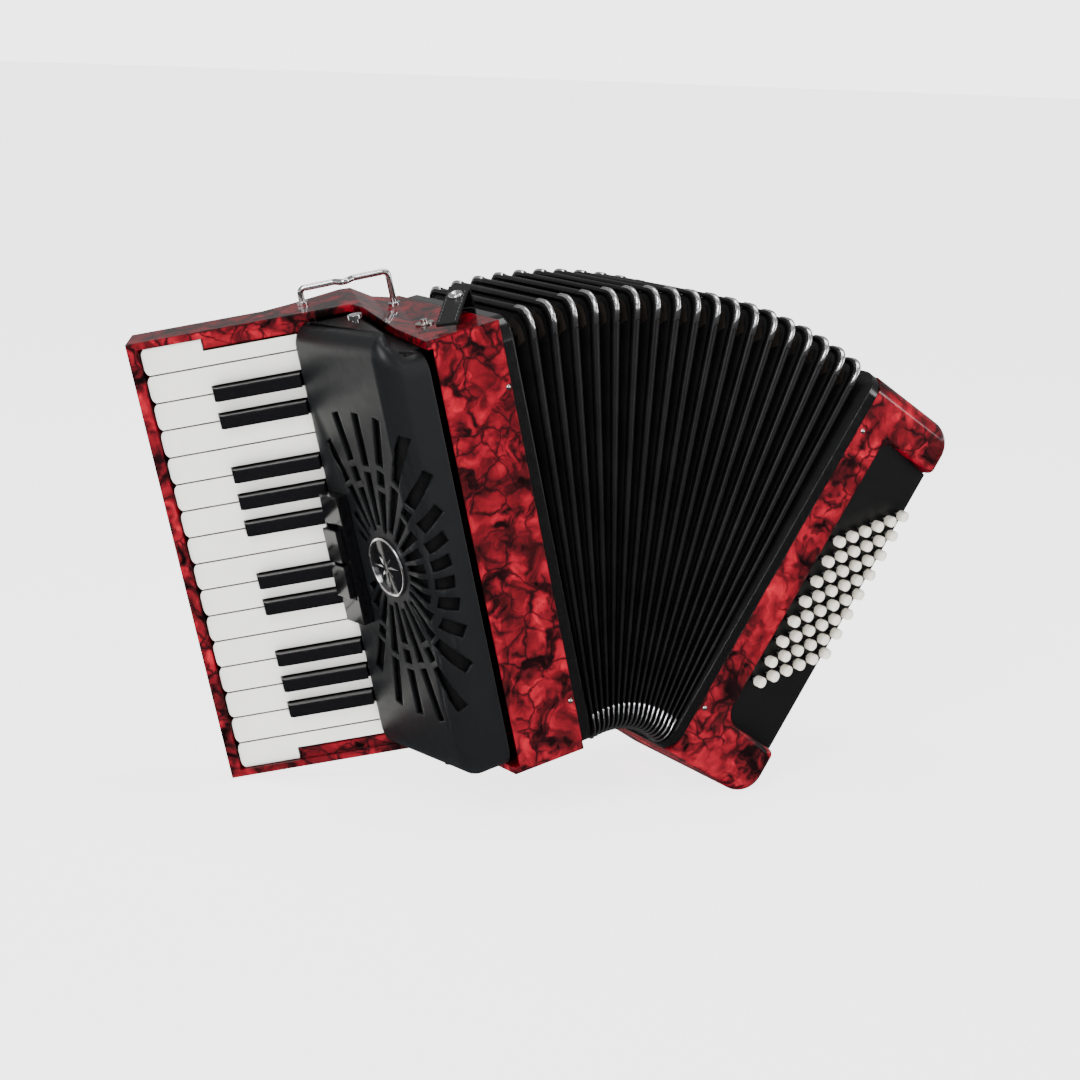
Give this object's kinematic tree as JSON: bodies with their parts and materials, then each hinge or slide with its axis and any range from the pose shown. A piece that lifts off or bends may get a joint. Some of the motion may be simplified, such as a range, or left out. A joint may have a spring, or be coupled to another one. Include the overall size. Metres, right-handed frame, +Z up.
{
  "type": "piano accordion",
  "caption": "Compact red piano accordion standing with its bellows fanned open: angled keyboard, slotted grille, pleated bellows, button board and hand strap.",
  "frame": {"origin": "centre of the footprint box, on the floor the instrument stands on", "axes": "+Z up, -Y the front of the instrument, +X from the treble keyboard to the bass buttons"},
  "size_m": [0.5902, 0.2148, 0.3819],
  "materials": {
    "red_pearl": "high gloss pearl celluloid",
    "white_keys": "polished off-white",
    "black_keys": "gloss",
    "ivory_buttons": "polished ivory",
    "satin_black": "satin",
    "gauze": "matte woven",
    "gloss_black": "gloss",
    "frame_black": "lacquered",
    "board_black": "satin",
    "chrome_trim": "polished",
    "nickel": "polished nickel",
    "bellows_steel": "polished",
    "bellows_cloth": "matte coated cloth",
    "black_leather": "stitched, fine grain",
    "wood_parts": "bare",
    "steel": "bright"
  },
  "bodies": {
    "treble": {"bellows_corners": "bellows_steel", "bellows_folds": "bellows_cloth", "closure_straps": "black_leather", "grille_emblem": "chrome_trim", "grille_gauze": "gauze", "grille_knobs": "chrome_trim", "key_axle": "steel", "keyboard_bed": "wood_parts", "pallet_board": "wood_parts", "register_housing": "gloss_black", "snap_plate": "nickel", "strap_bracket_bottom": "chrome_trim", "strap_bracket_top": "chrome_trim", "treble_bellows_frame": "frame_black", "treble_case": "red_pearl", "treble_frame_pins": "nickel", "treble_grille": "satin_black", "treble_reed_blocks": "wood_parts"},
    "key_black_01": {"key_black_01": "black_keys"},
    "key_black_02": {"key_black_02": "black_keys"},
    "key_black_03": {"key_black_03": "black_keys"},
    "key_black_04": {"key_black_04": "black_keys"},
    "key_black_05": {"key_black_05": "black_keys"},
    "key_black_06": {"key_black_06": "black_keys"},
    "key_black_07": {"key_black_07": "black_keys"},
    "key_black_08": {"key_black_08": "black_keys"},
    "key_black_09": {"key_black_09": "black_keys"},
    "key_black_10": {"key_black_10": "black_keys"},
    "key_white_01": {"key_white_01": "white_keys"},
    "key_white_02": {"key_white_02": "white_keys"},
    "key_white_03": {"key_white_03": "white_keys"},
    "key_white_04": {"key_white_04": "white_keys"},
    "key_white_05": {"key_white_05": "white_keys"},
    "key_white_06": {"key_white_06": "white_keys"},
    "key_white_07": {"key_white_07": "white_keys"},
    "key_white_08": {"key_white_08": "white_keys"},
    "key_white_09": {"key_white_09": "white_keys"},
    "key_white_10": {"key_white_10": "white_keys"},
    "key_white_11": {"key_white_11": "white_keys"},
    "key_white_12": {"key_white_12": "white_keys"},
    "key_white_13": {"key_white_13": "white_keys"},
    "key_white_14": {"key_white_14": "white_keys"},
    "key_white_15": {"key_white_15": "white_keys"},
    "key_white_16": {"key_white_16": "white_keys"},
    "register_tab_1": {"register_tab_1": "gloss_black"},
    "register_tab_2": {"register_tab_2": "gloss_black"},
    "bass_buttons_row_1": {"bass_buttons_row_1": "ivory_buttons"},
    "bass_buttons_row_2": {"bass_buttons_row_2": "ivory_buttons"},
    "bass_buttons_row_3": {"bass_buttons_row_3": "ivory_buttons"},
    "bass_buttons_row_4": {"bass_buttons_row_4": "ivory_buttons"},
    "bass_buttons_row_5": {"bass_buttons_row_5": "ivory_buttons"},
    "bass_buttons_row_6": {"bass_buttons_row_6": "ivory_buttons"},
    "air_button": {"air_button": "ivory_buttons"},
    "strap_wheel": {"strap_wheel": "nickel"},
    "bass": {"bass_bellows_frame": "frame_black", "bass_button_board": "board_black", "bass_case": "red_pearl", "bass_frame_pins": "nickel", "bass_reed_blocks": "wood_parts", "bass_strap": "black_leather"}
  },
  "joints": [
    {"name": "bellows_fan", "type": "hinge", "parent": "treble", "child": "bass", "pos_m": [0.01982, -0.021, 0.03265], "axis": [0, 1, 0], "range_deg": [-45, 6], "deforming": ["bellows_folds", "bellows_corners"]},
    {"name": "black_01_press", "type": "hinge", "parent": "treble", "child": "key_black_01", "pos_m": [-0.13686, 0.02373, 0.19231], "axis": [-0.2504, 0, 0.9681], "range_deg": [-2.3, 0], "stiffness_Nm_per_rad": 0.9, "springref_deg": 3.44},
    {"name": "black_02_press", "type": "hinge", "parent": "treble", "child": "key_black_02", "pos_m": [-0.13686, 0.02373, 0.19231], "axis": [-0.2504, 0, 0.9681], "range_deg": [-2.3, 0], "stiffness_Nm_per_rad": 0.9, "springref_deg": 3.44},
    {"name": "black_03_press", "type": "hinge", "parent": "treble", "child": "key_black_03", "pos_m": [-0.13686, 0.02373, 0.19231], "axis": [-0.2504, 0, 0.9681], "range_deg": [-2.3, 0], "stiffness_Nm_per_rad": 0.9, "springref_deg": 3.44},
    {"name": "black_04_press", "type": "hinge", "parent": "treble", "child": "key_black_04", "pos_m": [-0.13686, 0.02373, 0.19231], "axis": [-0.2504, 0, 0.9681], "range_deg": [-2.3, 0], "stiffness_Nm_per_rad": 0.9, "springref_deg": 3.44},
    {"name": "black_05_press", "type": "hinge", "parent": "treble", "child": "key_black_05", "pos_m": [-0.13686, 0.02373, 0.19231], "axis": [-0.2504, 0, 0.9681], "range_deg": [-2.3, 0], "stiffness_Nm_per_rad": 0.9, "springref_deg": 3.44},
    {"name": "black_06_press", "type": "hinge", "parent": "treble", "child": "key_black_06", "pos_m": [-0.13686, 0.02373, 0.19231], "axis": [-0.2504, 0, 0.9681], "range_deg": [-2.3, 0], "stiffness_Nm_per_rad": 0.9, "springref_deg": 3.44},
    {"name": "black_07_press", "type": "hinge", "parent": "treble", "child": "key_black_07", "pos_m": [-0.13686, 0.02373, 0.19231], "axis": [-0.2504, 0, 0.9681], "range_deg": [-2.3, 0], "stiffness_Nm_per_rad": 0.9, "springref_deg": 3.44},
    {"name": "black_08_press", "type": "hinge", "parent": "treble", "child": "key_black_08", "pos_m": [-0.13686, 0.02373, 0.19231], "axis": [-0.2504, 0, 0.9681], "range_deg": [-2.3, 0], "stiffness_Nm_per_rad": 0.9, "springref_deg": 3.44},
    {"name": "black_09_press", "type": "hinge", "parent": "treble", "child": "key_black_09", "pos_m": [-0.13686, 0.02373, 0.19231], "axis": [-0.2504, 0, 0.9681], "range_deg": [-2.3, 0], "stiffness_Nm_per_rad": 0.9, "springref_deg": 3.44},
    {"name": "black_10_press", "type": "hinge", "parent": "treble", "child": "key_black_10", "pos_m": [-0.13686, 0.02373, 0.19231], "axis": [-0.2504, 0, 0.9681], "range_deg": [-2.3, 0], "stiffness_Nm_per_rad": 0.9, "springref_deg": 3.44},
    {"name": "white_01_press", "type": "hinge", "parent": "treble", "child": "key_white_01", "pos_m": [-0.13686, 0.02373, 0.19231], "axis": [-0.2504, 0, 0.9681], "range_deg": [-2.3, 0], "stiffness_Nm_per_rad": 0.9, "springref_deg": 3.44},
    {"name": "white_02_press", "type": "hinge", "parent": "treble", "child": "key_white_02", "pos_m": [-0.13686, 0.02373, 0.19231], "axis": [-0.2504, 0, 0.9681], "range_deg": [-2.3, 0], "stiffness_Nm_per_rad": 0.9, "springref_deg": 3.44},
    {"name": "white_03_press", "type": "hinge", "parent": "treble", "child": "key_white_03", "pos_m": [-0.13686, 0.02373, 0.19231], "axis": [-0.2504, 0, 0.9681], "range_deg": [-2.3, 0], "stiffness_Nm_per_rad": 0.9, "springref_deg": 3.44},
    {"name": "white_04_press", "type": "hinge", "parent": "treble", "child": "key_white_04", "pos_m": [-0.13686, 0.02373, 0.19231], "axis": [-0.2504, 0, 0.9681], "range_deg": [-2.3, 0], "stiffness_Nm_per_rad": 0.9, "springref_deg": 3.44},
    {"name": "white_05_press", "type": "hinge", "parent": "treble", "child": "key_white_05", "pos_m": [-0.13686, 0.02373, 0.19231], "axis": [-0.2504, 0, 0.9681], "range_deg": [-2.3, 0], "stiffness_Nm_per_rad": 0.9, "springref_deg": 3.44},
    {"name": "white_06_press", "type": "hinge", "parent": "treble", "child": "key_white_06", "pos_m": [-0.13686, 0.02373, 0.19231], "axis": [-0.2504, 0, 0.9681], "range_deg": [-2.3, 0], "stiffness_Nm_per_rad": 0.9, "springref_deg": 3.44},
    {"name": "white_07_press", "type": "hinge", "parent": "treble", "child": "key_white_07", "pos_m": [-0.13686, 0.02373, 0.19231], "axis": [-0.2504, 0, 0.9681], "range_deg": [-2.3, 0], "stiffness_Nm_per_rad": 0.9, "springref_deg": 3.44},
    {"name": "white_08_press", "type": "hinge", "parent": "treble", "child": "key_white_08", "pos_m": [-0.13686, 0.02373, 0.19231], "axis": [-0.2504, 0, 0.9681], "range_deg": [-2.3, 0], "stiffness_Nm_per_rad": 0.9, "springref_deg": 3.44},
    {"name": "white_09_press", "type": "hinge", "parent": "treble", "child": "key_white_09", "pos_m": [-0.13686, 0.02373, 0.19231], "axis": [-0.2504, 0, 0.9681], "range_deg": [-2.3, 0], "stiffness_Nm_per_rad": 0.9, "springref_deg": 3.44},
    {"name": "white_10_press", "type": "hinge", "parent": "treble", "child": "key_white_10", "pos_m": [-0.13686, 0.02373, 0.19231], "axis": [-0.2504, 0, 0.9681], "range_deg": [-2.3, 0], "stiffness_Nm_per_rad": 0.9, "springref_deg": 3.44},
    {"name": "white_11_press", "type": "hinge", "parent": "treble", "child": "key_white_11", "pos_m": [-0.13686, 0.02373, 0.19231], "axis": [-0.2504, 0, 0.9681], "range_deg": [-2.3, 0], "stiffness_Nm_per_rad": 0.9, "springref_deg": 3.44},
    {"name": "white_12_press", "type": "hinge", "parent": "treble", "child": "key_white_12", "pos_m": [-0.13686, 0.02373, 0.19231], "axis": [-0.2504, 0, 0.9681], "range_deg": [-2.3, 0], "stiffness_Nm_per_rad": 0.9, "springref_deg": 3.44},
    {"name": "white_13_press", "type": "hinge", "parent": "treble", "child": "key_white_13", "pos_m": [-0.13686, 0.02373, 0.19231], "axis": [-0.2504, 0, 0.9681], "range_deg": [-2.3, 0], "stiffness_Nm_per_rad": 0.9, "springref_deg": 3.44},
    {"name": "white_14_press", "type": "hinge", "parent": "treble", "child": "key_white_14", "pos_m": [-0.13686, 0.02373, 0.19231], "axis": [-0.2504, 0, 0.9681], "range_deg": [-2.3, 0], "stiffness_Nm_per_rad": 0.9, "springref_deg": 3.44},
    {"name": "white_15_press", "type": "hinge", "parent": "treble", "child": "key_white_15", "pos_m": [-0.13686, 0.02373, 0.19231], "axis": [-0.2504, 0, 0.9681], "range_deg": [-2.3, 0], "stiffness_Nm_per_rad": 0.9, "springref_deg": 3.44},
    {"name": "white_16_press", "type": "hinge", "parent": "treble", "child": "key_white_16", "pos_m": [-0.13686, 0.02373, 0.19231], "axis": [-0.2504, 0, 0.9681], "range_deg": [-2.3, 0], "stiffness_Nm_per_rad": 0.9, "springref_deg": 3.44},
    {"name": "register_1_press", "type": "hinge", "parent": "treble", "child": "register_tab_1", "pos_m": [-0.16053, -0.00566, 0.17844], "axis": [-0.2504, 0, 0.9681], "range_deg": [-8, 0]},
    {"name": "register_2_press", "type": "hinge", "parent": "treble", "child": "register_tab_2", "pos_m": [-0.16053, -0.00566, 0.17844], "axis": [-0.2504, 0, 0.9681], "range_deg": [0, 8]},
    {"name": "bass_row_1_press", "type": "slide", "parent": "bass", "child": "bass_buttons_row_1", "axis": [-0.1752, 0.9781, 0.112], "range_m": [0, 0.0035], "stiffness_N_per_m": 260, "springref_m": -0.003},
    {"name": "bass_row_2_press", "type": "slide", "parent": "bass", "child": "bass_buttons_row_2", "axis": [-0.1752, 0.9781, 0.112], "range_m": [0, 0.0035], "stiffness_N_per_m": 260, "springref_m": -0.003},
    {"name": "bass_row_3_press", "type": "slide", "parent": "bass", "child": "bass_buttons_row_3", "axis": [-0.1752, 0.9781, 0.112], "range_m": [0, 0.0035], "stiffness_N_per_m": 260, "springref_m": -0.003},
    {"name": "bass_row_4_press", "type": "slide", "parent": "bass", "child": "bass_buttons_row_4", "axis": [-0.1752, 0.9781, 0.112], "range_m": [0, 0.0035], "stiffness_N_per_m": 260, "springref_m": -0.003},
    {"name": "bass_row_5_press", "type": "slide", "parent": "bass", "child": "bass_buttons_row_5", "axis": [-0.1752, 0.9781, 0.112], "range_m": [0, 0.0035], "stiffness_N_per_m": 260, "springref_m": -0.003},
    {"name": "bass_row_6_press", "type": "slide", "parent": "bass", "child": "bass_buttons_row_6", "axis": [-0.1752, 0.9781, 0.112], "range_m": [0, 0.0035], "stiffness_N_per_m": 260, "springref_m": -0.003},
    {"name": "air_button_press", "type": "slide", "parent": "bass", "child": "air_button", "axis": [-0.8425, 0, 0.5388], "range_m": [0, 0.0034], "stiffness_N_per_m": 260, "springref_m": -0.003},
    {"name": "strap_wheel_turn", "type": "hinge", "parent": "bass", "child": "strap_wheel", "pos_m": [0.2742, -0.004, 0.27153], "axis": [0, 1, 0], "continuous": true}
  ],
  "couplings": [
    {"joint": "register_2_press", "follows": "register_1_press", "ratio": -1}
  ]
}
